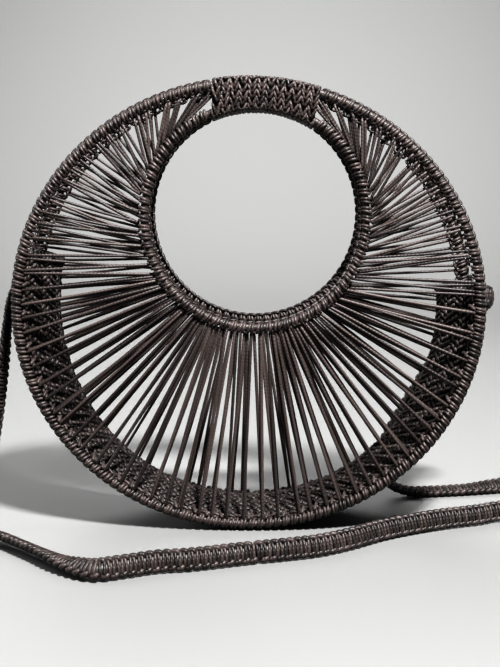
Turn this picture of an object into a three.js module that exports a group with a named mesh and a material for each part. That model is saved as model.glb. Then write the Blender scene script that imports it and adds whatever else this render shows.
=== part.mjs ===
// Macrame handbag: two crescent panels of cord-covered hoops and radiating cords, a knotted gusset
// between them, one grip that binds all four hoops at the top, and a long flat knotted strap.
// Millimetres, +Z up, the front towards -Y. The origin is on the ground under the middle of the bag.
import * as THREE from "three";
import { mergeVertices } from "three/addons/utils/BufferGeometryUtils.js";

const DEG = Math.PI / 180;
const FRONT = -1;
const BACK = 1;

// Driving dimensions: hoops
const OUTER_HALF_WIDTH = 135.9; // outer hoop, to the middle of its section
const OUTER_HALF_HEIGHT = 130.5; // less than the width: the hoop gives under the pull of the cords
const INNER_RADIUS = 65.2; // inner hoop, round the hand hole
const INNER_RISE = 53.2; // from the outer hoop's centre to the inner hoop's, along the bag's axis
const HOOP_HALF = 4.1; // half the thickness of a hoop with its covering of hitches
const CORE_HALF = 2.2; // half the thickness of the bare hoop inside the grip
const BAG_ROLL = 4.5 * DEG; // the bag's axis leans to the right, as the round bag came to rest
const OUTER_STEPS = 60;
const INNER_STEPS = 44;
const HOOP_SIDES = 8;

// Driving dimensions: depth of the bag, between the middles of the front and back hoops
const DEPTH_BASE = 52; // at the ground
const DEPTH_GRIP = 16; // inside the grip, which pinches the hoops together
const DEPTH_MOUTH = 44; // at the bottom of the inner hoops, where the bag opens
const PINCH = 3.5; // how late the outer hoops bend together on the way up

// Driving dimensions: cord walls
const CLEARANCE = 0.35; // between pieces that are knotted to each other
const WEB_THICK = 2.2; // one cord
const WEB_RIM = 1.8; // the row of knots along each hoop
const SPOKES_HALF = 20; // bars on each side of a panel, each for two neighbouring pairs of cords
const SPOKE_PITCH = 8.56 * DEG; // on the outer hoop
const SPOKE_SHIFT = 1.6 * DEG; // the outer ends are tied on a little to the right
const SPOKES_CLOSED = 1; // gaps at each end of a panel that are closed: next to the grip the cords touch
const SPOKE_LAY = [
  // degrees from the bottom on the outer hoop, and where that cord reaches the inner hoop
  { outer: 0, inner: 0 },
  { outer: 18, inner: 14 },
  { outer: 45, inner: 26.5 },
  { outer: 90, inner: 52 },
  { outer: 120, inner: 82.5 },
  { outer: 150, inner: 113 },
  { outer: 180, inner: 147 },
];
const BAR_OUTER = 3.6;
const BAR_INNER = 3.0;
const GUSSET_WALL = 4;
const GUSSET_END = 81 * DEG; // the gusset's ends, from the bag's axis
const GUSSET_SAG_BASE = 9; // how far the gusset folds into the bag at the ground
const GUSSET_SAG_END = 20; // and level with the hoop's centre
const GUSSET_FOLD = 1.8; // 1 is a sharp pleat, 2 a round one
const GUSSET_STEPS = 40;
const GUSSET_ACROSS = 8;
const GRIP_HALF = 30; // half the length of the grip
const GRIP_WALL = 2;
const GRIP_CLEARANCE = 0.5; // round the bare hoops inside
const GRIP_STEPS = 8;
const GRIP_CORNER_STEPS = 3;

// Driving dimensions: strap, a flat band of square knots
const STRAP_WIDTH = 12;
const STRAP_THICK = 5.5;
const STRAP_CHAMFER = 1.6;
const STRAP_STEPS = 40; // on each half

const base = Math.PI / OUTER_STEPS; // half a step, so that each outer hoop stands on a flat
const outerCentre = new THREE.Vector3();
outerCentre.z = OUTER_HALF_HEIGHT * Math.cos(base) + HOOP_HALF * ellipseNormal(base).z;
const outerTop = outerCentre.z + OUTER_HALF_HEIGHT;
const axis = new THREE.Vector3(Math.sin(BAG_ROLL), 0, Math.cos(BAG_ROLL));
const innerCentre = outerCentre.clone().addScaledVector(axis, INNER_RISE);

// Outward direction of the outer hoop at an angle from its top
function ellipseNormal(angle) {
  const x = Math.sin(angle) / OUTER_HALF_WIDTH;
  const z = Math.cos(angle) / OUTER_HALF_HEIGHT;
  return new THREE.Vector3(x, 0, z).normalize();
}

// Half the distance between the two outer hoops at a height
function outerDepth(z) {
  const rise = Math.max(0, z) / outerTop;
  return (DEPTH_BASE - (DEPTH_BASE - DEPTH_GRIP) * rise ** PINCH) / 2;
}

// Half the distance between the two inner hoops at a height
function innerDepth(z) {
  const drop = (innerCentre.z + INNER_RADIUS - z) / (2 * INNER_RADIUS);
  return (DEPTH_GRIP + (DEPTH_MOUTH - DEPTH_GRIP) * drop) / 2;
}

// A point of an outer hoop, clockwise from the top as seen from the front, moved out by a distance
function outerHoop(angle, side, out = 0) {
  const point = outerCentre.clone();
  point.x += OUTER_HALF_WIDTH * Math.sin(angle);
  point.z += OUTER_HALF_HEIGHT * Math.cos(angle);
  point.y = side * outerDepth(point.z);
  return point.addScaledVector(ellipseNormal(angle), out);
}

// The same for an inner hoop
function innerHoop(angle, side, out = 0) {
  const normal = new THREE.Vector3(Math.sin(angle), 0, Math.cos(angle));
  const point = innerCentre.clone().addScaledVector(normal, INNER_RADIUS);
  point.y = side * innerDepth(point.z);
  return point.addScaledVector(normal, out);
}

// A closed geometry with its faces turned outwards
function solidGeometry(positions, index) {
  const volume = index.reduce((sum, _, i) => {
    if (i % 3) return sum;
    const [a, b, c] = [0, 1, 2].map((k) => new THREE.Vector3().fromArray(positions, 3 * index[i + k]));
    return sum + a.dot(b.cross(c));
  }, 0);
  if (volume < 0) index.reverse();
  const geometry = new THREE.BufferGeometry();
  geometry.setAttribute("position", new THREE.Float32BufferAttribute(positions, 3));
  geometry.setIndex(index);
  geometry.computeVertexNormals();
  return geometry;
}

// A skin over rings of equally many points: joined end to end, or capped across from side to side
function loft(rings, endless) {
  const count = rings[0].length;
  const positions = rings.flat().flatMap((point) => point.toArray());
  const index = [];
  const spans = endless ? rings.length : rings.length - 1;
  for (let i = 0; i < spans; i++) {
    const here = i * count;
    const next = ((i + 1) % rings.length) * count;
    for (let j = 0; j < count; j++) {
      const k = (j + 1) % count;
      index.push(here + j, next + j, next + k, here + j, next + k, here + k);
    }
  }
  if (!endless) {
    const last = (rings.length - 1) * count;
    for (let j = 0; j < count / 2 - 1; j++) {
      const [a, b, c, d] = [j, j + 1, count - 2 - j, count - 1 - j];
      index.push(a, b, c, a, c, d);
      index.push(last + c, last + b, last + a, last + d, last + c, last + a);
    }
  }
  return solidGeometry(positions, index);
}

// One hoop: thick with hitches all round, and bare where it runs through the grip
function hoop(curve, side, bareAngle, steps) {
  const ring = (angle, half) => {
    const reach = half / Math.cos(Math.PI / HOOP_SIDES);
    return Array.from({ length: HOOP_SIDES }, (_, j) => {
      const turn = ((2 * j + 1) * Math.PI) / HOOP_SIDES;
      const point = curve(angle, side, reach * Math.cos(turn));
      point.y += reach * Math.sin(turn);
      return point;
    });
  };
  const step = (2 * Math.PI) / steps;
  const start = BAG_ROLL + bareAngle;
  const end = 2 * Math.PI + BAG_ROLL - bareAngle;
  const rings = [ring(start, HOOP_HALF)];
  for (let i = 0; i < steps; i++) {
    const angle = (i + 0.5) * step;
    if (angle > start + step / 3 && angle < end - step / 3) rings.push(ring(angle, HOOP_HALF));
  }
  rings.push(ring(end, HOOP_HALF));
  for (let i = 0; i <= GRIP_STEPS; i++) {
    rings.push(ring(end + (2 * bareAngle * i) / GRIP_STEPS, CORE_HALF));
  }
  return loft(rings, true);
}

// Where a cord reaches the inner hoop, for its angle from the bottom on the outer hoop
function innerLay(outer) {
  const next = SPOKE_LAY.findIndex((row) => row.outer * DEG > outer);
  const [low, high] = [SPOKE_LAY[next - 1], SPOKE_LAY[next]];
  const share = (outer / DEG - low.outer) / (high.outer - low.outer);
  return THREE.MathUtils.lerp(low.inner, high.inner, share) * DEG;
}

// One panel of cords between its two hoops, cut through between the bars
function spokeWeb(side) {
  const half = Array.from({ length: SPOKES_HALF }, (_, k) => (k + 0.5) * SPOKE_PITCH);
  const barAt = (angle, way) => ({
    outer: Math.PI + way * angle - SPOKE_SHIFT,
    inner: Math.PI + way * innerLay(angle),
  });
  const bars = [
    ...half.toReversed().map((angle) => barAt(angle, -1)),
    ...half.map((angle) => barAt(angle, 1)),
  ];
  const seat = HOOP_HALF + CLEARANCE;
  const outerEdge = (bar, way, inset) => {
    const turn = (way * BAR_OUTER) / 2 / OUTER_HALF_WIDTH;
    const { x, z } = outerHoop(bar.outer + BAG_ROLL + turn, side, -seat - inset);
    return new THREE.Vector2(x, z);
  };
  const innerEdge = (bar, way, inset) => {
    const turn = (way * BAR_INNER) / 2 / INNER_RADIUS;
    const { x, z } = innerHoop(bar.inner + BAG_ROLL + turn, side, seat + inset);
    return new THREE.Vector2(x, z);
  };
  const shape = new THREE.Shape([
    ...bars.flatMap((bar) => [outerEdge(bar, -1, 0), outerEdge(bar, 1, 0)]),
    ...bars.toReversed().flatMap((bar) => [innerEdge(bar, 1, 0), innerEdge(bar, -1, 0)]),
  ]);
  for (let i = SPOKES_CLOSED; i + 1 < bars.length - SPOKES_CLOSED; i++) {
    const gap = [
      innerEdge(bars[i], 1, WEB_RIM),
      innerEdge(bars[i + 1], -1, WEB_RIM),
      outerEdge(bars[i + 1], -1, WEB_RIM),
      outerEdge(bars[i], 1, WEB_RIM),
    ];
    shape.holes.push(new THREE.Path(gap));
  }
  const flat = new THREE.ExtrudeGeometry(shape, { depth: WEB_THICK, bevelEnabled: false });
  flat.deleteAttribute("normal");
  flat.deleteAttribute("uv");
  const merged = mergeVertices(flat);
  const positions = [];
  for (let i = 0; i < merged.attributes.position.count; i++) {
    const [x, z, lift] = new THREE.Vector3().fromBufferAttribute(merged.attributes.position, i).toArray();
    positions.push(x, side * webDepth(x, z) + lift - WEB_THICK / 2, z);
  }
  return solidGeometry(positions, Array.from(merged.index.array));
}

// Half the distance between the two panels at a place between the hoops
function webDepth(x, z) {
  const reach = Math.hypot(x / OUTER_HALF_WIDTH, (z - outerCentre.z) / OUTER_HALF_HEIGHT);
  const toOuter = (1 - reach) * OUTER_HALF_HEIGHT;
  const toInner = Math.hypot(x - innerCentre.x, z - innerCentre.z) - INNER_RADIUS;
  return THREE.MathUtils.lerp(innerDepth(z), outerDepth(z), toInner / (toInner + toOuter));
}

// The knotted band between the outer hoops, folded a little into the bag
function gusset() {
  const start = BAG_ROLL + GUSSET_END;
  const end = 2 * Math.PI + BAG_ROLL - GUSSET_END;
  const rings = [];
  for (let i = 0; i <= GUSSET_STEPS; i++) {
    const angle = start + ((end - start) * i) / GUSSET_STEPS;
    const sag = THREE.MathUtils.lerp(GUSSET_SAG_BASE, GUSSET_SAG_END, Math.sin(angle) ** 2);
    const halfWidth = outerDepth(outerHoop(angle, BACK).z) - HOOP_HALF - CLEARANCE;
    const point = (across, wall) => {
      const fold = sag * (1 - Math.abs(across) ** GUSSET_FOLD);
      const made = outerHoop(angle, BACK, wall - fold);
      made.y = across * halfWidth;
      return made;
    };
    const across = Array.from({ length: GUSSET_ACROSS + 1 }, (_, j) => (2 * j) / GUSSET_ACROSS - 1);
    rings.push([
      ...across.map((place) => point(place, GUSSET_WALL / 2)),
      ...across.toReversed().map((place) => point(place, -GUSSET_WALL / 2)),
    ]);
  }
  return loft(rings, false);
}

// The grip: a sleeve drawn tight round the four bare hoops, open at both ends
function grip() {
  const ring = (place, wall) => {
    const outer = outerHoop(BAG_ROLL + Math.asin(place / OUTER_HALF_HEIGHT), BACK);
    const inner = innerHoop(BAG_ROLL + Math.asin(place / INNER_RADIUS), BACK);
    const up = outer.clone().sub(inner).setY(0).normalize();
    const reach = CORE_HALF + GRIP_CLEARANCE + wall;
    const corners = [outer, outer, inner, inner];
    const sides = [BACK, FRONT, FRONT, BACK];
    return corners.flatMap((corner, c) =>
      Array.from({ length: GRIP_CORNER_STEPS + 1 }, (_, j) => {
        const turn = ((c - 1 + j / GRIP_CORNER_STEPS) * Math.PI) / 2;
        const point = corner.clone().addScaledVector(up, reach * Math.cos(turn));
        point.y = sides[c] * corner.y - reach * Math.sin(turn);
        return point;
      }),
    );
  };
  const places = Array.from({ length: GRIP_STEPS + 1 }, (_, i) => GRIP_HALF * ((2 * i) / GRIP_STEPS - 1));
  const outside = places.map((place) => ring(place, GRIP_WALL));
  const inside = places.toReversed().map((place) => ring(place, 0));
  const along = [...outside, ...inside];
  return loft(outside[0].map((_, j) => along.map((stations) => stations[j])), true);
}

// Strap route, one row a point: it leaves the gusset's left end, hangs outside the bag to the ground,
// runs past the front, turns back beyond the right side and climbs behind the bag to the right end
const STRAP_LEFT_ROUTE = [
  // x, y, z
  [-119.7, 0, 155],
  [-127, 0, 154.5],
  [-134.5, -0.3, 151.5],
  [-140.5, -1, 145.5],
  [-144.3, -2.3, 136],
  [-146.4, -4, 122],
  [-148.6, -5, 104],
  [-151.6, -7, 83],
  [-155.5, -10, 59],
  [-160, -14, 36],
  [-163.5, -22, 19],
  [-163, -33, 9.8],
  [-157.5, -43, 6.7],
  [-150, -50.5, 6.3],
  [-142, -55, 6.2],
  [-117.5, -77.5, 6.2],
  [-96.7, -97, 6.4],
  [-78.6, -107.4, 6.6],
  [-62.9, -102.7, 6.6],
  [-47, -96, 6.6],
  [-30.4, -93, 6.6],
  [-12.5, -87.2, 6.6],
  [4.2, -81.6, 6.6],
];
const STRAP_RIGHT_ROUTE = [
  // x, y, z
  [4.7, -81.45, 6.6],
  [21.8, -76.7, 6.6],
  [40.4, -70.2, 6.6],
  [58.8, -59, 6.6],
  [78.9, -43.5, 6.6],
  [98.8, -32, 6.6],
  [120, -22.3, 6.6],
  [140, -15.2, 6.6],
  [154.8, -8, 6.6],
  [178, -3.5, 6.6],
  [202, -2, 6.6],
  [226, 0, 6.6],
  [244, 8, 6.6],
  [255, 23, 6.6],
  [253, 41, 6.6],
  [240, 54, 6.6],
  [220, 59, 6.4],
  [195, 58, 6],
  [169, 54, 4.8],
  [146, 49, 3.6],
  [122, 45, 3.4],
  [104, 42.5, 4.6],
  [92, 41, 11],
  [86.5, 40, 23],
  [88, 39, 37],
  [96, 38.5, 54],
  [108, 38.5, 75],
  [119, 39, 93],
  [129, 39.5, 108],
  [139, 38.5, 119],
  [147.5, 33, 128],
  [151, 22, 135],
  [148, 10.5, 138.5],
  [139.5, 3, 138.5],
  [130, 0.5, 137],
  [121, 0, 136],
];

// Which way the strap's width points, one row for each turn of the band: share of the half's length,
// then the direction. It hangs sideways, leans on its far edge up to the front corner, stands tilted on one
// edge past the front and climbs flat.
const STRAP_LEFT_EDGES = [
  // share, x, y, z
  [0, 0, 1, 0],
  [0.12, 0, 1, 0],
  [0.36, 0.8, 0.6, 0],
  [0.56, 0.6, 0.6, -0.5],
  [0.64, 0.57, 0.6, -0.5],
  [0.82, 0.08, 0.42, 0.9],
  [1, 0, 0.42, 0.91],
];
const STRAP_RIGHT_EDGES = [
  // share, x, y, z
  [0, 0, 0.42, 0.91],
  [0.25, 0, 0.42, 0.91],
  [0.34, 0, 0.1, 0.99],
  [0.5, 0, -0.1, 0.99],
  [0.62, 0, 1, 0.12],
  [0.86, 0, 1, 0],
  [0.95, 0, 0.25, 0.97],
  [1, 0, 0.25, 0.97],
];

// The direction of the strap's width at a share of its length
function strapEdge(edges, share) {
  const next = Math.max(1, edges.findIndex(([at]) => at >= share));
  const [from, to] = [edges[next - 1], edges[next]];
  const between = (share - from[0]) / (to[0] - from[0]);
  return new THREE.Vector3(...from.slice(1)).lerp(new THREE.Vector3(...to.slice(1)), between);
}

// Half of the strap: its flat section carried along the route
function strap(route, edges) {
  const points = route.map((row) => new THREE.Vector3(...row));
  const curve = new THREE.CatmullRomCurve3(points, false, "centripetal");
  const wide = STRAP_WIDTH / 2;
  const thick = STRAP_THICK / 2;
  const section = [
    [wide - STRAP_CHAMFER, thick],
    [-wide + STRAP_CHAMFER, thick],
    [-wide, thick - STRAP_CHAMFER],
    [-wide, -thick + STRAP_CHAMFER],
    [-wide + STRAP_CHAMFER, -thick],
    [wide - STRAP_CHAMFER, -thick],
    [wide, -thick + STRAP_CHAMFER],
    [wide, thick - STRAP_CHAMFER],
  ];
  const rings = [];
  for (let i = 0; i <= STRAP_STEPS; i++) {
    const share = i / STRAP_STEPS;
    const centre = curve.getPointAt(share);
    const along = curve.getTangentAt(share);
    const edge = strapEdge(edges, share);
    edge.addScaledVector(along, -edge.dot(along)).normalize();
    const face = along.clone().cross(edge);
    rings.push(
      section.map(([w, t]) => centre.clone().addScaledVector(edge, w).addScaledVector(face, t)),
    );
  }
  return loft(rings, false);
}

const cord = new THREE.MeshStandardMaterial({ color: 0x3b3532, roughness: 0.5, metalness: 0 });
const shadedCord = new THREE.MeshStandardMaterial({ color: 0x2a2624, roughness: 0.6, metalness: 0 });

const bag = new THREE.Group();

function add(name, geometry, material = cord) {
  const mesh = new THREE.Mesh(geometry, material);
  mesh.name = name;
  bag.add(mesh);
}

// Angle from the bag's axis at which a hoop's covering stops, just short of the grip
function gripAngle(radius) {
  return Math.asin((GRIP_HALF + CLEARANCE) / (radius - HOOP_HALF));
}

for (const [word, side] of [
  ["front", FRONT],
  ["back", BACK],
]) {
  add(`${word}_outer_hoop`, hoop(outerHoop, side, gripAngle(OUTER_HALF_HEIGHT), OUTER_STEPS));
  add(`${word}_inner_hoop`, hoop(innerHoop, side, gripAngle(INNER_RADIUS), INNER_STEPS));
  add(`${word}_spokes`, spokeWeb(side));
}
add("gusset", gusset(), shadedCord);
add("grip_wrap", grip());
add("strap_left", strap(STRAP_LEFT_ROUTE, STRAP_LEFT_EDGES));
add("strap_right", strap(STRAP_RIGHT_ROUTE, STRAP_RIGHT_EDGES));

export default bag;
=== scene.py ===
"""Looks of the macrame handbag: every hitch, cord and knot as a swept cord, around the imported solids.

Metres, +Z up, the front towards -Y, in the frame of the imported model.
"""

import math

import bpy
import numpy as np
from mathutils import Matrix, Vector


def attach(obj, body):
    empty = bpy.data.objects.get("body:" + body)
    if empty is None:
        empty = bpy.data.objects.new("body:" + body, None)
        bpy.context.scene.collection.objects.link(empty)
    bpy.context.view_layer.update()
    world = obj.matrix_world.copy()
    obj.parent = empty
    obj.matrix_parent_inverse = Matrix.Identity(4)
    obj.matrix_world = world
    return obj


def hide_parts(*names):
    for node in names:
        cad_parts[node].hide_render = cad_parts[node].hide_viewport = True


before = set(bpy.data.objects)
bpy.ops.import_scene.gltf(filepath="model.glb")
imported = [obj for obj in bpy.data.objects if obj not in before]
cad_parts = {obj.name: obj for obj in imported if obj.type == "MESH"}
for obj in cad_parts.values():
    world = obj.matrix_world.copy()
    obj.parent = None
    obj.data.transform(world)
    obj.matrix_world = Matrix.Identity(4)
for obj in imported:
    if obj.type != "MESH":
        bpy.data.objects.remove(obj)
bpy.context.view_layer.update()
rng = np.random.default_rng(7)

FRONT = -1
BACK = 1

# Camera of the photograph
CAMERA_PLACE = (0.0061, -0.6144, 0.2002)
CAMERA_DOWN = math.radians(7.82)
CAMERA_LEFT = math.radians(0.47)
CAMERA_LENS_MM = 54.73

# Hoops
OUTER_HALF_WIDTH = 0.1359
OUTER_HALF_HEIGHT = 0.1305
OUTER_CENTRE_HEIGHT = 0.1344
INNER_RADIUS = 0.0652
INNER_RISE = 0.0532
HOOP_HALF = 0.0041
CORE_HALF = 0.0022
BAG_ROLL = math.radians(4.5)
HOOP_CORD = 0.0011  # half the thickness of the cord that covers the hoops
OUTER_KNOTS = 154  # each is two turns round the hoop and one bar along its edge
INNER_KNOTS = 66
RIDGE_CORD = 0.001  # half the thickness of the bars in the ridge
RIDGE_RISE = 0.0009  # how far the ridge stands out from the turns
RIDGE_BACK = 0.0018  # how far it lies behind the middle of the hoop
RIDGE_TWIST = 0.001  # how much further back on the left, and nearer on the right
RIDGE_SUNK = 0.0002  # how far its outside lies under the outside of the hoop
RIDGE_BEND = 0.0006  # how much deeper the ends of a bar lie
RIDGE_LENGTH = 1.05  # half the length of a bar, in turns
RIDGE_SLANT = 0.0009  # how far a bar's ends lie in front of its middle and behind it
RIDGE_SHADE_TONE = 0  # painted shade: darker than the turns, as the ridge lies in their shadow; 0.5 for the turns
RIDGE_TONES = 0.4  # how much its bars differ, 1 for the turns
TURN_FULL = 0.84  # share of its pitch that a turn fills
TURN_TAPER = 0.16  # how much thinner a turn is at the edges of the hoop
HITCH_SLANT = 0.24  # sideways shift of a turn for its height
HITCH_CLOSE = 0.2  # how far the two turns of a knot close up under their bar, in turns
HITCH_EVEN = 0.7  # the mean of that all round the hoop, for 1 under the bar
TURN_STRAY = 0.05  # how unevenly the turns follow each other, in turns
TURN_UNEVEN = (0.94, 1.06)  # thickness of single turns
TURN_POINTS = 20
CORE_POINTS = 120

# Depth of the bag between the middles of the front and back hoops
DEPTH_BASE = 0.052
DEPTH_GRIP = 0.016
DEPTH_MOUTH = 0.044  # at the bottom of the inner hoops
PINCH = 3.5  # power of the height by which the outer hoops draw together

# Cords between the hoops
CORD_HALF = 0.0009
CORD_HALF_LOW = 0.00096  # near the bottom, where two strands lie together
CORDS_HALF = 40  # pairs of cords on each side of a panel
CORD_PITCH = math.radians(4.28)  # on the outer hoop
CORD_SHIFT = math.radians(1.6)  # the outer ends are tied on a little to the right
BACK_CLOSER = 0.97  # the pairs on the back panel lie a little closer together
CORD_LAY = [
    # degrees from the bottom on the outer hoop, and where that cord reaches the inner hoop
    (0, 0),
    (18, 14),
    (45, 26.5),
    (90, 52),
    (120, 82.5),
    (150, 113),
    (180, 147),
]
STACKED = 22  # up to this pair, two cords leave the outer hoop one behind the other, then side by side
SPREAD_LOW = (0.1, 0.7)  # how far a cord strays from its pair at the inner hoop, in pitches
SPREAD_HIGH = (0.4, 0.9)  # the same where the cords cross their neighbours
PAIR_STRAY = 0.14  # how unevenly the pairs follow each other, in pitches
CORD_STRAY = 0.0005  # of a single cord along the outer hoop
PAIR_HALF = 0.0011  # half the distance of two cords of a pair at the outer hoop
PAIR_STEP = 0.2  # how far they lie behind each other where side by side, in half thicknesses
HEAD_LENGTH = 0.0058  # of the loops along the outer hoop in which the pairs hang
HEAD_SUNK = 0.0002  # how far the ends of a loop lie inside the hoop's covering
HEAD_BULGE = 0.0008  # and how far its middle stands off
HEAD_FRONT = 0.0004  # in front of the middle of the hoop, where a loop comes out
HEAD_DEEP = 0.0018  # from there backwards to its other end
LACING_CORD = 0.001  # half the thickness of the stitches that tie the gusset to the outer hoop
LACING_REACH = 0.0026  # inwards from the hoop, and as far along it
LACING_FRONT = 0.0024  # in front of the middle of the hoop, where a stitch comes out
LACING_DEEP = 0.006  # from there backwards to the gusset
LACING_SUNK = 0.0006  # how far its first end lies inside the hoop's covering
LACING_AHEAD = 0.0018  # and how far past its pair of cords
CORD_POINTS = 8
CORD_END = 0.01  # share of a cord's length in which it rounds off
CORD_SLACK = 0.0006  # the most that a cord sags
CORD_SWAY = 0.00024  # how far it bows forwards or backwards
CORD_UNEVEN = (0.86, 1.06)  # thickness of single cords
CORD_PROUD = 0.0008  # how far the cords are tied on in front of the middle of the outer hoop
CORD_SUNK = 0.0008  # and how far behind the middle of the inner hoop

# Gusset
GUSSET_END = math.radians(81)  # from the bag's axis to its ends
GUSSET_SAG_BASE = 0.009  # depth of the fold at the bottom
GUSSET_SAG_END = 0.020  # and at the sides
GUSSET_FOLD = 1.8  # power of the fold's curve, 1 is a sharp crease
GUSSET_CLEARANCE = 0.0004  # from the hoops' covering
GUSSET_ROWS = 24
GUSSET_KNOTS = 96  # in a row
GUSSET_CORD = 0.00105  # half the thickness of a knot's cord
GUSSET_HALF = 0.002  # half the thickness of the band
GUSSET_LOOP = 0.00145  # half the length of a knot's loop, to the middle of its cord
GUSSET_SLANT = (0.2, 0.9)  # sideways shift of a loop for its length
GUSSET_RELIEF = (0.4, 1.2)  # height of single loops, 1 reaches the faces of the band
GUSSET_FIRST = 0.3  # place of a row's first knot, in knots
GUSSET_STRAY = 0.06  # how unevenly the knots follow each other, in knots
GUSSET_EVEN = math.radians(111.6)  # angle from the top at which the rows are evenly spaced
FILLING_HALF = 0.7  # half the width of the ribbons under the knots, in rows
FILLING_FLAT = 0.4  # their thickness for their width
GUSSET_POINTS = 8
HEM_KNOTS = 26
HEM_LOOP = 0.0017  # half the length and height of a loop
HEM_WIDTH = 0.0024  # of a loop
HEM_REACH = 0.96  # share of the band's width

# Grip
GRIP_HALF = 0.030  # half its length
GRIP_GAP = 0.0003  # from its ends to the covering of a hoop
GRIP_REACH = 0.0047  # from the middle of a hoop's core to the outside of the grip
GRIP_COLUMNS = 12
GRIP_ROWS = 20
GRIP_CORD = 0.00095  # half the thickness of a stitch
STITCH_ROWS = 1.55  # rows that one leg of a V stitch spans, its lower end under the next V
STITCH_POINTS = 6
STITCH_STRAY = 0.14  # how unevenly the stitches lie, in rows and in half columns
STITCH_UNEVEN = (0.88, 1.02)  # thickness of single stitches
STITCH_START = 0.1  # from the middle of a V to its legs, in half columns
STITCH_SUNK = 0.9  # depth of a leg's middle line at its highest, in half thicknesses
STITCH_BEND = 2.4  # how quickly it goes deeper from there
STITCH_HIGHEST = 0.45  # share of the leg at which that is
GRIP_SQUARE = 1.25  # 1 goes round the section like a square, more turns further at the corners
SLEEVE_SUNK = 2.4  # depth of the sleeve under the stitches, in half thicknesses of their cord
SLEEVE_WALL = 0.0006
SLEEVE_ROUND = 48  # points round it
SLEEVE_ALONG = 13  # points along it

# Strap of square knots
STRAP_WIDTH = 0.012
STRAP_THICK = 0.0055
STRAP_CORD = 0.00112  # half the thickness of a bar
STRAP_GAP = 0.0005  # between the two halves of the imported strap
STRAP_LOOP = 0.0015  # half the thickness of the loops along its edges
STRAP_BAR = 0.00226  # from one bar to the next
STRAP_FULL = 0.8  # share of its pitch that a bar fills
STRAP_SLANT = 0.09  # of neighbouring bars, one way and the other
STRAP_POINTS = 18
STRAP_TONE = 0.25  # 0.5 for the other cords
STRAP_SQUARE = 0.6  # 1 is an oval section, less is squarer
STRAP_UNEVEN = (0.92, 1.06)  # thickness of single bars
LOOP_LENGTH = 1.05  # half the length of an edge loop, in bars
LOOP_SUNK = 0.85  # depth of its middle under the strap's edge, in half thicknesses
LOOP_BEND = 1.1  # how much deeper its ends lie
LOOP_SLANT = 0.0012  # how far its ends lie above and below its middle
LOOP_END = 0.002  # least distance of a loop's middle from the strap's ends
STRAP_LEFT_ROUTE = [
    # x, y, z
    (-0.1197, 0, 0.155),
    (-0.127, 0, 0.1545),
    (-0.1345, -0.0003, 0.1515),
    (-0.1405, -0.001, 0.1455),
    (-0.1443, -0.0023, 0.136),
    (-0.1464, -0.004, 0.122),
    (-0.1486, -0.005, 0.104),
    (-0.1516, -0.007, 0.083),
    (-0.1555, -0.01, 0.059),
    (-0.16, -0.014, 0.036),
    (-0.1635, -0.022, 0.019),
    (-0.163, -0.033, 0.0098),
    (-0.1575, -0.043, 0.0067),
    (-0.15, -0.0505, 0.0063),
    (-0.142, -0.055, 0.0062),
    (-0.1175, -0.0775, 0.0062),
    (-0.0967, -0.097, 0.0064),
    (-0.0786, -0.1074, 0.0066),
    (-0.0629, -0.1027, 0.0066),
    (-0.047, -0.096, 0.0066),
    (-0.0304, -0.093, 0.0066),
    (-0.0125, -0.0872, 0.0066),
    (0.0042, -0.0816, 0.0066),
]
STRAP_RIGHT_ROUTE = [
    # x, y, z
    (0.0047, -0.08145, 0.0066),
    (0.0218, -0.0767, 0.0066),
    (0.0404, -0.0702, 0.0066),
    (0.0588, -0.059, 0.0066),
    (0.0789, -0.0435, 0.0066),
    (0.0988, -0.032, 0.0066),
    (0.12, -0.0223, 0.0066),
    (0.14, -0.0152, 0.0066),
    (0.1548, -0.008, 0.0066),
    (0.178, -0.0035, 0.0066),
    (0.202, -0.002, 0.0066),
    (0.226, 0, 0.0066),
    (0.244, 0.008, 0.0066),
    (0.255, 0.023, 0.0066),
    (0.253, 0.041, 0.0066),
    (0.24, 0.054, 0.0066),
    (0.22, 0.059, 0.0064),
    (0.195, 0.058, 0.006),
    (0.169, 0.054, 0.0048),
    (0.146, 0.049, 0.0036),
    (0.122, 0.045, 0.0034),
    (0.104, 0.0425, 0.0046),
    (0.092, 0.041, 0.011),
    (0.0865, 0.04, 0.023),
    (0.088, 0.039, 0.037),
    (0.096, 0.0385, 0.054),
    (0.108, 0.0385, 0.075),
    (0.119, 0.039, 0.093),
    (0.129, 0.0395, 0.108),
    (0.139, 0.0385, 0.119),
    (0.1475, 0.033, 0.128),
    (0.151, 0.022, 0.135),
    (0.148, 0.0105, 0.1385),
    (0.1395, 0.003, 0.1385),
    (0.13, 0.0005, 0.137),
    (0.121, 0, 0.136),
]
STRAP_LEFT_EDGES = [
    # share of the length, then the direction of the strap's width
    (0, 0, 1, 0),
    (0.12, 0, 1, 0),
    (0.36, 0.8, 0.6, 0),
    (0.56, 0.6, 0.6, -0.5),
    (0.64, 0.57, 0.6, -0.5),
    (0.82, 0.08, 0.42, 0.9),
    (1, 0, 0.42, 0.91),
]
STRAP_RIGHT_EDGES = [
    # share of the length, then the direction of the strap's width
    (0, 0, 0.42, 0.91),
    (0.25, 0, 0.42, 0.91),
    (0.34, 0, 0.1, 0.99),
    (0.5, 0, -0.1, 0.99),
    (0.62, 0, 1, 0.12),
    (0.86, 0, 1, 0),
    (0.95, 0, 0.25, 0.97),
    (1, 0, 0.25, 0.97),
]

# Colours of the cord, from its darkest to its lightest strands, then the gusset's, which is the same cord
# made darker as painted shade inside the bag, and of the floor
CORD_DARK = (0.0072, 0.0052, 0.0046)
CORD_LIGHT = (0.037, 0.027, 0.0243)
GUSSET_SHADE_DARK = (0.005, 0.0036, 0.0032)
GUSSET_SHADE_LIGHT = (0.025, 0.0185, 0.0165)
FLOOR_COLOUR = (0.097, 0.097, 0.0958, 1)

# Any cord
BRAID_PITCH = 0.0011  # along the cord
CORD_TIP = 0.55  # thickness of an open end, for 1 along the cord

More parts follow.
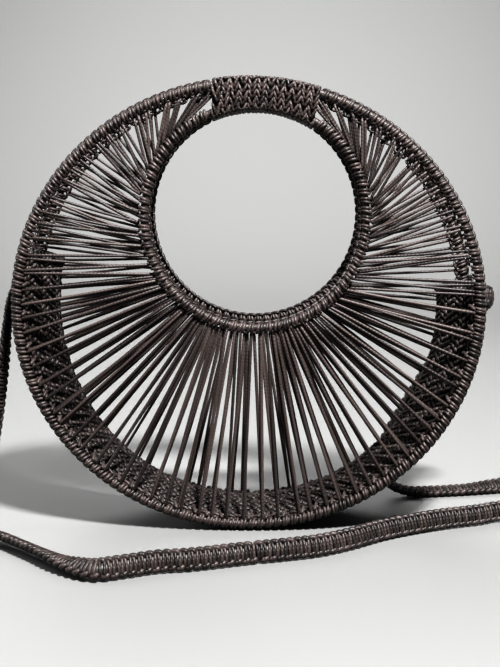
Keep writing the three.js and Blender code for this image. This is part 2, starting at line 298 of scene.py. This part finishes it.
outer_centre = np.array([0, 0, OUTER_CENTRE_HEIGHT])
outer_top = OUTER_CENTRE_HEIGHT + OUTER_HALF_HEIGHT
bag_axis = np.array([math.sin(BAG_ROLL), 0, math.cos(BAG_ROLL)])
inner_centre = outer_centre + INNER_RISE * bag_axis
ACROSS = np.array([0.0, 1.0, 0.0])


# Vectors and curves


def unit(vectors):
    return vectors / np.linalg.norm(vectors, axis=-1, keepdims=True)


def stack(x, y, z):
    return np.stack(np.broadcast_arrays(x, y, z), axis=-1)


def catmull_rom(route, samples=40):
    """A centripetal Catmull-Rom curve through the route, as close points."""
    points = np.array(route, float)
    points = np.vstack([2 * points[0] - points[1], points, 2 * points[-1] - points[-2]])
    made = []
    for p0, p1, p2, p3 in zip(points, points[1:], points[2:], points[3:]):
        d0, d1, d2 = (np.linalg.norm(b - a) ** 0.5 for a, b in ((p0, p1), (p1, p2), (p2, p3)))
        start = ((p1 - p0) / d0 - (p2 - p0) / (d0 + d1) + (p2 - p1) / d1) * d1
        end = ((p2 - p1) / d1 - (p3 - p1) / (d1 + d2) + (p3 - p2) / d2) * d1
        t = np.linspace(0, 1, samples, endpoint=False)[:, None]
        made.append(
            p1 + t * start + t**2 * (3 * (p2 - p1) - 2 * start - end) + t**3 * (2 * (p1 - p2) + start + end)
        )
    return np.vstack([*made, points[-2:-1]])


def travelled(points):
    """The length along a line of points, up to each of them."""
    return np.concatenate([[0], np.cumsum(np.linalg.norm(np.diff(points, axis=0), axis=1))])


def along_line(points, places):
    """Points of a line at lengths along it."""
    lengths = travelled(points)
    return np.stack([np.interp(places, lengths, points[:, k]) for k in range(3)], axis=-1)


# Swept cords


def sweep(paths, edge, radius, flat=1.0, sides=6, closed=False, tone=0.5, tone_spread=1.0):
    """Cords along many paths of equally many points, as one set of vertices, faces and UVs.

    edge is the direction of the section's first half-axis, radius its length, and flat the ratio of
    the second half-axis to it. Open cords narrow at their ends.
    """
    paths = np.asarray(paths, float)
    count, points = paths.shape[:2]
    along = np.roll(paths, -1, axis=1) - np.roll(paths, 1, axis=1)
    if not closed:
        along[:, 0] = paths[:, 1] - paths[:, 0]
        along[:, -1] = paths[:, -1] - paths[:, -2]
    along = unit(along)
    edge = np.broadcast_to(edge, paths.shape)
    edge = unit(edge - np.sum(edge * along, axis=-1, keepdims=True) * along)
    side = np.cross(along, edge)
    radius = np.array(np.broadcast_to(radius, (count, points)))
    if not closed:
        radius[:, [0, -1]] *= CORD_TIP
    turn = 2 * math.pi * np.arange(sides) / sides
    section = edge[:, :, None] * np.cos(turn)[:, None] + flat * side[:, :, None] * np.sin(turn)[:, None]
    vertices = paths[:, :, None] + radius[:, :, None, None] * section

    index = np.arange(count * points * sides).reshape(count, points, sides)
    here = index if closed else index[:, :-1]
    ahead = np.roll(index, -1, axis=1) if closed else index[:, 1:]
    quads = np.stack([here, np.roll(here, -1, 2), np.roll(ahead, -1, 2), ahead], axis=-1).reshape(-1, 4)

    steps = np.linalg.norm(np.diff(paths, axis=1, append=paths[:, :1]), axis=2)
    reach = np.concatenate([np.zeros((count, 1)), np.cumsum(steps, axis=1)], axis=1)
    spans = here.shape[1]
    u0 = np.broadcast_to(reach[:, :spans, None], here.shape)
    u1 = np.broadcast_to(reach[:, 1 : spans + 1, None], here.shape)
    v0 = np.broadcast_to(np.arange(sides) / sides, here.shape)
    v1 = v0 + 1 / sides
    quad_uv = np.stack([stack_uv(u0, v0), stack_uv(u0, v1), stack_uv(u1, v1), stack_uv(u1, v0)], axis=-2)

    caps = np.zeros((0, sides), int)
    cap_uv = np.zeros((0, sides, 2))
    if not closed:
        caps = np.concatenate([index[:, 0, ::-1], index[:, -1]])
        ring = np.arange(sides) / sides
        ends = np.concatenate([reach[:, 0], reach[:, points - 1]])
        cap_uv = stack_uv(np.broadcast_to(ends[:, None], caps.shape), np.broadcast_to(ring, caps.shape))

    tones = np.repeat(tone + tone_spread * (rng.random(count) - 0.5), points * sides)
    return {
        "vertices": vertices.reshape(-1, 3),
        "faces": [quads, caps],
        "uv": [quad_uv.reshape(-1, 2), cap_uv.reshape(-1, 2)],
        "tone": tones,
    }


def stack_uv(u, v):
    return np.stack([u, v], axis=-1)


def piece(name, sweeps, material, *nodes):
    """One mesh object made of swept cords. It stands for CAD nodes and rides on the bag."""
    vertices, sizes, corners, uv, tone = [], [], [], [], []
    base = 0
    for made in sweeps:
        vertices.append(made["vertices"])
        tone.append(made["tone"])
        for faces, coordinates in zip(made["faces"], made["uv"]):
            sizes.append(np.full(len(faces), faces.shape[1]))
            corners.append(faces.ravel() + base)
            uv.append(coordinates)
        base += len(made["vertices"])
    vertices, sizes, corners = np.concatenate(vertices), np.concatenate(sizes), np.concatenate(corners)
    uv, tone = np.concatenate(uv), np.concatenate(tone)

    mesh = bpy.data.meshes.new(name)
    mesh.vertices.add(len(vertices))
    mesh.vertices.foreach_set("co", vertices.astype(np.float32).ravel())
    mesh.loops.add(len(corners))
    mesh.loops.foreach_set("vertex_index", corners.astype(np.int32))
    mesh.polygons.add(len(sizes))
    mesh.polygons.foreach_set("loop_start", (np.cumsum(sizes) - sizes).astype(np.int32))
    mesh.polygons.foreach_set("use_smooth", np.ones(len(sizes), bool))
    mesh.update(calc_edges=True)
    layer = mesh.uv_layers.new(name="cord")
    layer.uv.foreach_set("vector", uv.astype(np.float32).ravel())
    attribute = mesh.attributes.new("tone", "FLOAT", "POINT")
    attribute.data.foreach_set("value", tone.astype(np.float32))
    mesh.validate()
    mesh.materials.append(material)
    made = bpy.data.objects.new(name, mesh)
    bpy.context.collection.objects.link(made)
    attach(made, "root")
    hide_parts(*nodes)
    return made


# Materials


def cord_material(name, dark, light):
    """Waxed braided cord: fine slanting strands, uneven tone from cord to cord, a soft shine."""
    material = bpy.data.materials.new(name)
    material.use_nodes = True
    nodes, links = material.node_tree.nodes, material.node_tree.links
    shader = nodes["Principled BSDF"]
    shader.inputs["Specular IOR Level"].default_value = 0.28
    shader.inputs["Sheen Weight"].default_value = 0.04
    shader.inputs["Sheen Roughness"].default_value = 0.4

    coordinates = nodes.new("ShaderNodeUVMap")
    coordinates.uv_map = "cord"
    strands = nodes.new("ShaderNodeMapping")
    strands.inputs["Scale"].default_value = (1 / BRAID_PITCH, 2, 1)
    links.new(coordinates.outputs["UV"], strands.inputs["Vector"])
    braid = nodes.new("ShaderNodeTexWave")
    braid.bands_direction = "DIAGONAL"
    braid.inputs["Scale"].default_value = 0.32
    braid.inputs["Distortion"].default_value = 3
    braid.inputs["Detail"].default_value = 1
    links.new(strands.outputs["Vector"], braid.inputs["Vector"])

    place = nodes.new("ShaderNodeTexCoord")
    fuzz = nodes.new("ShaderNodeTexNoise")
    fuzz.inputs["Scale"].default_value = 900
    fuzz.inputs["Detail"].default_value = 3
    links.new(place.outputs["Object"], fuzz.inputs["Vector"])

    tone = nodes.new("ShaderNodeAttribute")
    tone.attribute_name = "tone"
    blend = nodes.new("ShaderNodeMath")
    blend.operation = "MULTIPLY_ADD"
    blend.inputs[1].default_value = 0.55
    links.new(tone.outputs["Fac"], blend.inputs[0])
    part = nodes.new("ShaderNodeMath")
    part.operation = "MULTIPLY"
    part.inputs[1].default_value = 0.45
    links.new(fuzz.outputs["Fac"], part.inputs[0])
    links.new(part.outputs["Value"], blend.inputs[2])
    ramp = nodes.new("ShaderNodeValToRGB")
    ramp.color_ramp.elements[0].position = 0.2
    ramp.color_ramp.elements[0].color = (*dark, 1)
    ramp.color_ramp.elements[1].position = 0.8
    ramp.color_ramp.elements[1].color = (*light, 1)
    links.new(blend.outputs["Value"], ramp.inputs["Fac"])
    links.new(ramp.outputs["Color"], shader.inputs["Base Color"])

    gloss = nodes.new("ShaderNodeMapRange")
    gloss.inputs["To Min"].default_value = 0.4
    gloss.inputs["To Max"].default_value = 0.58
    links.new(fuzz.outputs["Fac"], gloss.inputs["Value"])
    links.new(gloss.outputs["Result"], shader.inputs["Roughness"])

    bump = nodes.new("ShaderNodeBump")
    bump.inputs["Strength"].default_value = 0.5
    bump.inputs["Distance"].default_value = 0.0002
    links.new(braid.outputs["Fac"], bump.inputs["Height"])
    links.new(bump.outputs["Normal"], shader.inputs["Normal"])
    return material


def backdrop_material():
    material = bpy.data.materials.new("backdrop")
    material.use_nodes = True
    shader = material.node_tree.nodes["Principled BSDF"]
    shader.inputs["Base Color"].default_value = FLOOR_COLOUR
    shader.inputs["Roughness"].default_value = 0.9
    return material


# Hoops


def outer_normal(angle):
    return unit(stack(np.sin(angle) / OUTER_HALF_WIDTH, 0, np.cos(angle) / OUTER_HALF_HEIGHT))


def outer_depth(z):
    rise = np.clip(z, 0, None) / outer_top
    return (DEPTH_BASE - (DEPTH_BASE - DEPTH_GRIP) * rise**PINCH) / 2


def inner_depth(z):
    drop = (inner_centre[2] + INNER_RADIUS - z) / (2 * INNER_RADIUS)
    return (DEPTH_GRIP + (DEPTH_MOUTH - DEPTH_GRIP) * drop) / 2


def outer_hoop(angle, side):
    z = outer_centre[2] + OUTER_HALF_HEIGHT * np.cos(angle)
    return stack(OUTER_HALF_WIDTH * np.sin(angle), side * outer_depth(z), z)


def inner_normal(angle):
    return stack(np.sin(angle), 0, np.cos(angle))


def inner_hoop(angle, side):
    point = inner_centre + INNER_RADIUS * inner_normal(angle)
    point[..., 1] = side * inner_depth(point[..., 2])
    return point


def tangent(curve, angle, side):
    step = 1e-4
    return unit(curve(angle + step, side) - curve(angle - step, side))


def grip_angle(radius):
    """Angle from the bag's axis at which a hoop's covering stops, just short of the grip."""
    return math.asin((GRIP_HALF + GRIP_GAP) / (radius - HOOP_HALF))


def hitched_hoop(name, curve, normal, side, radius, knots, bar_way, material, node):
    """A hoop under its covering: two turns of cord to a knot, and bars in a ridge along one edge."""
    start = BAG_ROLL + grip_angle(radius)
    whole = 2 * math.pi + BAG_ROLL - grip_angle(radius) - start
    places = start + whole * (np.arange(2 * knots) + 0.5) / (2 * knots)
    pitch = whole * radius / (2 * knots)
    places = places + rng.normal(0, TURN_STRAY, len(places)) * whole / (2 * knots)

    out = normal(places)[:, None]
    centre = curve(places, side)[:, None] - bar_way * RIDGE_RISE / 2 * out
    ahead = tangent(curve, places, side)[:, None]
    turn = 2 * math.pi * np.arange(TURN_POINTS) / TURN_POINTS
    reach = HOOP_HALF - RIDGE_RISE / 2 - HOOP_CORD
    rise = reach * np.cos(turn)
    spread = np.where(np.arange(len(places)) % 2, 1, -1)[:, None]
    closing = HITCH_CLOSE * pitch * (HITCH_EVEN + (1 - HITCH_EVEN) * bar_way * np.cos(turn))
    lean = -side * HITCH_SLANT * rise - spread * closing
    rings = (
        centre
        + out * rise[:, None]
        + ACROSS * (reach * np.sin(turn))[:, None]
        + ahead * lean[..., None]
    )
    thick = HOOP_CORD * rng.uniform(*TURN_UNEVEN, (len(places), 1)) * (1 - TURN_TAPER * np.cos(turn) ** 2)
    turns = sweep(rings, rings - centre, thick, flat=TURN_FULL * pitch / 2 / HOOP_CORD, closed=True)

    middles = start + whole * (np.arange(knots) + 0.5) / knots
    span = np.linspace(-1, 1, 7)
    back = RIDGE_BACK - RIDGE_TWIST * np.sin(middles)
    reach = HOOP_HALF - RIDGE_SUNK - RIDGE_CORD - RIDGE_BEND * span**2
    bars = (
        curve(middles, side)[:, None]
        + normal(middles)[:, None] * (bar_way * reach)[:, None]
        + tangent(curve, middles, side)[:, None] * (RIDGE_LENGTH * pitch * span)[:, None]
        + ACROSS * (side * (RIDGE_SLANT * span - back[:, None]))[..., None]
    )
    # The ridge's bars get a darker tone than the turns: painted shade behind them.
    ridge = sweep(bars, normal(middles)[:, None], RIDGE_CORD, tone=RIDGE_SHADE_TONE, tone_spread=RIDGE_TONES)

    ring = BAG_ROLL + 2 * math.pi * np.arange(CORE_POINTS) / CORE_POINTS
    core = sweep(curve(ring, side)[None], normal(ring)[None], CORE_HALF, sides=8, closed=True)
    return piece(name, [turns, ridge, core], material, node)


# Cords of a panel


def cord_lay(outer):
    """Where cords reach the inner hoop, for their angle from the bottom on the outer hoop."""
    table = np.radians(CORD_LAY)
    return np.interp(outer, table[:, 0], table[:, 1])


def panel(name, side, material, node):
    """The pairs of cords of one panel, their heads on the outer hoop and the lacing to the gusset."""
    pair = np.tile(np.repeat(np.arange(CORDS_HALF), 2), 2)
    leg = np.tile([-1, 1], 2 * CORDS_HALF)
    way = np.repeat([-1, 1], 2 * CORDS_HALF)
    count = len(pair)
    stacked = pair < STACKED
    pitch = CORD_PITCH if side == FRONT else BACK_CLOSER * CORD_PITCH
    stray = np.repeat(rng.normal(0, PAIR_STRAY, count // 2), 2)
    climb = (pair + 0.5 + stray) * pitch
    spread = np.where(stacked, rng.uniform(*SPREAD_LOW, count), rng.uniform(*SPREAD_HIGH, count))
    place = math.pi + way * climb - CORD_SHIFT + BAG_ROLL
    beside = np.where(stacked, 0, way * leg * PAIR_HALF) + rng.normal(0, CORD_STRAY, count)
    outer = place + beside / OUTER_HALF_WIDTH
    inner = math.pi + way * cord_lay(climb + leg * spread * pitch) + BAG_ROLL

    half = np.where(stacked, CORD_HALF_LOW, CORD_HALF)
    ahead = (leg * half)[:, None]
    start = CORD_PROUD + ahead * np.where(stacked, 1, PAIR_STEP)[:, None]
    low = outer_hoop(outer, side) - (HOOP_HALF - CORD_HALF) * outer_normal(outer) + side * ACROSS * start
    high = inner_hoop(inner, side) + (HOOP_HALF - CORD_HALF) * inner_normal(inner)
    high = high + side * ACROSS * (ahead - CORD_SUNK)
    share = np.concatenate([[0], np.linspace(CORD_END, 1 - CORD_END, CORD_POINTS), [1]])[:, None]
    lines = low[:, None] * (1 - share) + high[:, None] * share
    bow = np.sin(math.pi * share)
    lines = lines + bow * ACROSS * rng.normal(0, CORD_SWAY, (count, 1, 1))
    lines[..., 2] -= bow[:, 0] * CORD_SLACK * rng.random((count, 1))
    thick = half[:, None] * rng.uniform(*CORD_UNEVEN, (count, 1))
    sweeps = [sweep(lines, ACROSS, thick, sides=8)]

    span = np.linspace(0, 1, 6)
    heads = place + leg * pitch / 4
    heads = heads[np.abs(np.sin((heads - BAG_ROLL) / 2)) > math.sin(grip_angle(OUTER_HALF_HEIGHT) / 2)]
    stand = HOOP_HALF - HEAD_SUNK + HEAD_BULGE * np.sin(math.pi * span)
    loops = (
        outer_hoop(heads, side)[:, None]
        - outer_normal(heads)[:, None] * stand[:, None]
        + tangent(outer_hoop, heads, side)[:, None] * (HEAD_LENGTH * (span - 0.5))[:, None]
        + ACROSS * (side * (HEAD_FRONT - HEAD_DEEP * span))[:, None]
    )
    sweeps.append(sweep(loops, side * ACROSS, CORD_HALF))

    laced = (leg > 0) & stacked
    upwards = tangent(outer_hoop, place[laced], side) * way[laced, None]
    stand = HOOP_HALF - LACING_SUNK + LACING_REACH * span
    lacing = (
        outer_hoop(place[laced], side)[:, None]
        - outer_normal(place[laced])[:, None] * stand[:, None]
        + upwards[:, None] * (LACING_AHEAD + LACING_REACH * span)[:, None]
        + ACROSS * (side * (LACING_FRONT - LACING_DEEP * span**2))[:, None]
    )
    sweeps.append(sweep(lacing, side * ACROSS, LACING_CORD))
    return piece(name, sweeps, material, node)


# Gusset


def gusset_point(angle, across, lift=0.0):
    """A point of the folded band: angle round the hoops, across from -1 at the front to 1 at the back."""
    sag = GUSSET_SAG_BASE + (GUSSET_SAG_END - GUSSET_SAG_BASE) * np.sin(angle) ** 2
    on_hoop = outer_hoop(angle, BACK)
    half_width = on_hoop[..., 1] - HOOP_HALF - GUSSET_CLEARANCE
    fold = sag * (1 - np.abs(across) ** GUSSET_FOLD)
    point = on_hoop + outer_normal(angle) * (lift - fold)[..., None]
    point[..., 1] = across * half_width
    return point


def gusset_rows():
    """Where the rows of knots lie across the band, and how far apart, evenly spaced at one angle."""
    across = np.linspace(-1, 1, 401)
    line = gusset_point(np.full_like(across, GUSSET_EVEN), across)
    lengths = travelled(line)
    places = np.linspace(0, lengths[-1], GUSSET_ROWS)
    return np.interp(places, lengths, across), places[1] - places[0]


def band_loops(angle, across, half_high, half_long, slant, width):
    """Loops of cord through the band. They lie along it, and lean to one side by their slant."""
    step = 1e-3
    centre = gusset_point(angle, across)
    long_way = unit(gusset_point(angle + step, across) - gusset_point(angle - step, across))
    beside = unit(gusset_point(angle, across + step) - gusset_point(angle, across - step))
    up = unit(np.cross(long_way, beside))
    turn = 2 * math.pi * np.arange(GUSSET_POINTS) / GUSSET_POINTS
    length = half_long * np.sin(turn)
    height = half_high[:, None] * np.cos(turn)
    offset = up[:, None] * height[..., None] + long_way[:, None] * length[:, None]
    rings = centre[:, None] + offset + beside[:, None] * (slant[:, None] * length)[..., None]
    return sweep(rings, offset, GUSSET_CORD, flat=width / 2 / GUSSET_CORD, sides=5, closed=True)


def gusset(material):
    """Rows of knots between the two outer hoops, laid like bricks, and a hem at each end."""
    start, end = BAG_ROLL + GUSSET_END, 2 * math.pi + BAG_ROLL - GUSSET_END
    rows, row_pitch = gusset_rows()
    row = np.repeat(np.arange(GUSSET_ROWS), GUSSET_KNOTS)
    knot = np.tile(np.arange(GUSSET_KNOTS), GUSSET_ROWS)
    count = len(row)
    stray = rng.normal(0, GUSSET_STRAY, count)
    share = (knot + GUSSET_FIRST + 0.5 * (row % 2) + stray) / GUSSET_KNOTS
    angle = start + (end - start) * np.clip(share, 0, 1)
    slant = np.where(row // 2 % 2, 1, -1) * rng.uniform(*GUSSET_SLANT, count)
    high = (GUSSET_HALF - GUSSET_CORD) * rng.uniform(*GUSSET_RELIEF, count)
    sweeps = [band_loops(angle, rows[row], high, GUSSET_LOOP, slant, row_pitch)]
    angle, across = np.meshgrid(np.linspace(start, end, CORE_POINTS // 2), rows)
    step = 0.01
    beside = gusset_point(angle, across + step) - gusset_point(angle, across - step)
    filling = gusset_point(angle, across)
    half = FILLING_HALF * row_pitch
    sweeps.append(sweep(filling, beside, half, flat=FILLING_FLAT, sides=4, tone=0, tone_spread=0))
    across = np.linspace(-HEM_REACH, HEM_REACH, HEM_KNOTS)
    high = np.full(HEM_KNOTS, HEM_LOOP)
    straight = np.zeros(HEM_KNOTS)
    for hem in (start, end):
        angle = np.full(HEM_KNOTS, hem)
        sweeps.append(band_loops(angle, across, high, HEM_LOOP, straight, HEM_WIDTH))
    return piece("gusset_knots", sweeps, material, "gusset")


# Grip


def grip_section(place, turn_share, reach):
    """A point of the grip: place along it, share of the way round its section, reach from the cores."""
    outer = outer_hoop(BAG_ROLL + np.arcsin(place / OUTER_HALF_HEIGHT), BACK)
    inner = inner_hoop(BAG_ROLL + np.arcsin(place / INNER_RADIUS), BACK)
    up = unit((outer - inner) * np.array([1, 0, 1]))
    high = np.linalg.norm((outer - inner)[..., [0, 2]], axis=-1) / 2
    middle = (outer + inner) / 2
    angle = 2 * math.pi * turn_share
    square = np.maximum(np.abs(np.cos(angle)), np.abs(np.sin(angle)))
    rise = np.clip(GRIP_SQUARE * np.cos(angle) / square, -1, 1) * high
    deep = np.clip(GRIP_SQUARE * np.sin(angle) / square, -1, 1)
    deep = deep * np.where(rise > 0, outer[..., 1], inner[..., 1])
    point = middle + up * (rise + reach * np.cos(angle))[..., None]
    point[..., 1] = -(deep + reach * np.sin(angle))
    return point


def grip(material):
    """Columns of V stitches round the four hoops, over a plain sleeve."""
    columns = GRIP_HALF * (2 * (np.arange(GRIP_COLUMNS) + 0.5) / GRIP_COLUMNS - 1)
    half_column = GRIP_HALF / GRIP_COLUMNS
    stitch = np.arange(GRIP_ROWS) / GRIP_ROWS
    span = np.linspace(0, 1, STITCH_POINTS)
    place, share = (grid.ravel()[:, None] for grid in np.meshgrid(columns, stitch))
    place = place + half_column * rng.normal(0, STITCH_STRAY, place.shape)
    share = share + rng.normal(0, STITCH_STRAY, share.shape) / GRIP_ROWS
    thick = GRIP_CORD * rng.uniform(*STITCH_UNEVEN, place.shape)
    sweeps = []
    for way in (-1, 1):
        spread = half_column * (STITCH_START + (1 - STITCH_START) * span)
        places = np.clip(place + way * spread, -GRIP_HALF, GRIP_HALF)
        shares = share - STITCH_ROWS * span / GRIP_ROWS
        reach = GRIP_REACH - GRIP_CORD * (STITCH_SUNK + STITCH_BEND * (span - STITCH_HIGHEST) ** 2)
        lines = grip_section(places, shares, reach)
        middle = grip_section(places, shares, np.zeros(STITCH_POINTS))
        sweeps.append(sweep(lines, lines - middle, thick))
    ring = np.linspace(0, 1, SLEEVE_ROUND, endpoint=False)
    places = np.linspace(-GRIP_HALF, GRIP_HALF, SLEEVE_ALONG)
    place, share = np.meshgrid(places, ring)
    sleeve = grip_section(place, share, np.full(place.shape, GRIP_REACH - SLEEVE_SUNK * GRIP_CORD))
    sweeps.append(sleeve_sheet(sleeve))
    return piece("grip_stitches", sweeps, material, "grip_wrap")


def sleeve_sheet(grid):
    """A closed thin sleeve through a grid of points: rows along it, one after the other round it."""
    inner = grid.mean(axis=0, keepdims=True)
    inside = grid - SLEEVE_WALL * unit(grid - inner)
    loop = np.concatenate([grid, inside[:, ::-1]], axis=1)
    index = np.arange(loop.shape[0] * loop.shape[1]).reshape(loop.shape[:2])
    nexts = np.roll(index, -1, axis=0)
    quads = np.stack([index, np.roll(index, -1, 1), np.roll(nexts, -1, 1), nexts], axis=-1).reshape(-1, 4)
    return {
        "vertices": loop.reshape(-1, 3),
        "faces": [quads],
        "uv": [np.zeros((len(quads) * 4, 2))],
        "tone": np.zeros(loop.shape[0] * loop.shape[1]),
    }


# Strap


def strap(name, route, edges, joined, material, node):
    """Half of the strap: bars of square knots across, and a loop at each edge of every knot.

    joined is the index of the end at which it goes on in the other half.
    """
    line = catmull_rom(route)
    before = line[1] if joined == 0 else line[-2]
    line[joined] += STRAP_GAP / 2 * unit(line[joined] - before)
    length = travelled(line)[-1]
    bars = 2 * round(length / STRAP_BAR / 2)
    places = length * (np.arange(bars) + 0.5) / bars
    table = np.array(edges, float)

    def frame_at(at):
        step = 0.001
        centre = along_line(line, at)
        ahead = unit(along_line(line, at + step) - along_line(line, at - step))
        wide = np.stack([np.interp(at / length, table[:, 0], table[:, k]) for k in (1, 2, 3)], axis=-1)
        wide = unit(wide - np.sum(wide * ahead, axis=-1, keepdims=True) * ahead)
        return centre, ahead, wide, np.cross(ahead, wide)

    centre, ahead, wide, face = frame_at(places)
    turn = 2 * math.pi * np.arange(STRAP_POINTS) / STRAP_POINTS
    half_wide = STRAP_WIDTH / 2 - STRAP_LOOP - STRAP_CORD
    half_thick = STRAP_THICK / 2 - STRAP_CORD
    squarer = np.abs(np.cos(turn)) ** STRAP_SQUARE * np.sign(np.cos(turn))
    flatter = np.abs(np.sin(turn)) ** STRAP_SQUARE * np.sign(np.sin(turn))
    slant = np.where(np.arange(bars) % 2, STRAP_SLANT, -STRAP_SLANT)[:, None] * half_wide * squarer
    offset = (
        wide[:, None] * (half_wide * squarer)[:, None] + face[:, None] * (half_thick * flatter)[:, None]
    )
    rings = centre[:, None] + offset + ahead[:, None] * slant[..., None]
    thick = STRAP_CORD * rng.uniform(*STRAP_UNEVEN, (bars, 1))
    full = STRAP_FULL * STRAP_BAR / 2 / STRAP_CORD
    sweeps = [sweep(rings, offset, thick, flat=full, closed=True, tone=STRAP_TONE)]
    middle, _, width, _ = frame_at(np.linspace(0, length, bars))
    sweeps.append(sweep(middle[None], width[None], half_wide, flat=half_thick / half_wide, sides=8))

    span = np.linspace(-1, 1, 7)
    inset = STRAP_WIDTH / 2 - STRAP_LOOP * (LOOP_SUNK + LOOP_BEND * span**2)
    for way in (-1, 1):
        knots = 2 * STRAP_BAR * (np.arange(bars // 2) + (0.5 if way > 0 else 1))
        centre, ahead, wide, face = frame_at(np.clip(knots, LOOP_END, length - LOOP_END))
        loops = (
            centre[:, None]
            + ahead[:, None] * (LOOP_LENGTH * STRAP_BAR * span)[:, None]
            + wide[:, None] * (way * inset)[:, None]
            + face[:, None] * (LOOP_SLANT * span)[:, None]
        )
        sweeps.append(sweep(loops, wide[:, None], STRAP_LOOP, tone=STRAP_TONE))
    made = piece(name, sweeps, material, node)
    return made


# Stage


def add_camera():
    data = bpy.data.cameras.new("photo_camera")
    data.lens = CAMERA_LENS_MM
    data.sensor_width = 36
    camera = bpy.data.objects.new("photo_camera", data)
    camera.location = CAMERA_PLACE
    camera.rotation_euler = (math.pi / 2 - CAMERA_DOWN, 0, CAMERA_LEFT)
    bpy.context.collection.objects.link(camera)
    bpy.context.scene.camera = camera


def add_backdrop():
    """A pale floor that curves up into a wall behind the bag."""
    near, bend, radius, top, half = -2.5, 1.2, 0.8, 3.0, 3.0
    steps = 12
    profile = [(near, 0.0), (bend, 0.0)]
    for k in range(1, steps + 1):
        turn = k / steps * math.pi / 2
        profile.append((bend + radius * math.sin(turn), radius * (1 - math.cos(turn))))
    profile.append((bend + radius, top))
    vertices = [(x, y, z) for y, z in profile for x in (-half, half)]
    faces = [(2 * k, 2 * k + 1, 2 * k + 3, 2 * k + 2) for k in range(len(profile) - 1)]
    mesh = bpy.data.meshes.new("backdrop")
    mesh.from_pydata(vertices, [], faces)
    mesh.polygons.foreach_set("use_smooth", [True] * len(faces))
    mesh.materials.append(backdrop_material())
    backdrop = bpy.data.objects.new("backdrop", mesh)
    bpy.context.collection.objects.link(backdrop)


def add_light(name, place, size, power, aim=(0, 0, 0.13), spread=math.pi, shine=True):
    """A round lamp that faces its aim. Without shine it makes no highlights."""
    data = bpy.data.lights.new(name, "AREA")
    data.shape = "DISK"
    data.size = size
    data.energy = power
    data.spread = spread
    light = bpy.data.objects.new(name, data)
    light.location = place
    light.rotation_euler = (Vector(aim) - Vector(place)).to_track_quat("-Z", "Y").to_euler()
    light.visible_glossy = shine
    bpy.context.collection.objects.link(light)


def add_lights():
    """A key light from the right, soft ones from behind and the left, and one for the wall alone."""
    world = bpy.data.worlds.new("studio")
    world.use_nodes = True
    background = world.node_tree.nodes["Background"]
    background.inputs["Color"].default_value = (0.86, 0.87, 0.88, 1)
    background.inputs["Strength"].default_value = 0.22
    bpy.context.scene.world = world
    add_light("key", (0.32, -0.72, 1.3), 0.18, 100)
    add_light("back", (-0.3, 1.0, 1.1), 1.4, 8, spread=math.radians(50), shine=False)
    add_light("side", (-1.2, 0.2, 0.8), 0.6, 12)
    add_light("wall", (0, 0.4, 2.4), 1.5, 49, aim=(0, 1.9, 0.5), spread=math.radians(80))
    bpy.context.scene.view_settings.view_transform = "Standard"
    bpy.context.scene.view_settings.look = "High Contrast"


add_camera()
add_backdrop()
add_lights()

cord = cord_material("waxed_cord", CORD_DARK, CORD_LIGHT)
# The gusset is the same cord, darker all over: painted shade inside the bag.
gusset_shade_cord = cord_material("waxed_cord_gusset_painted_shade", GUSSET_SHADE_DARK, GUSSET_SHADE_LIGHT)

strap("strap_knots_left", STRAP_LEFT_ROUTE, STRAP_LEFT_EDGES, -1, cord, "strap_left")
strap("strap_knots_right", STRAP_RIGHT_ROUTE, STRAP_RIGHT_EDGES, 0, cord, "strap_right")
for word, side in (("front", FRONT), ("back", BACK)):
    hitched_hoop(
        f"{word}_outer_hitches", outer_hoop, outer_normal, side, OUTER_HALF_HEIGHT, OUTER_KNOTS, 1, cord,
        f"{word}_outer_hoop",
    )
    hitched_hoop(
        f"{word}_inner_hitches", inner_hoop, inner_normal, side, INNER_RADIUS, INNER_KNOTS, -1, cord,
        f"{word}_inner_hoop",
    )
    panel(f"{word}_cords", side, cord, f"{word}_spokes")
gusset(gusset_shade_cord)
grip(cord)

bpy.context.view_layer.update()
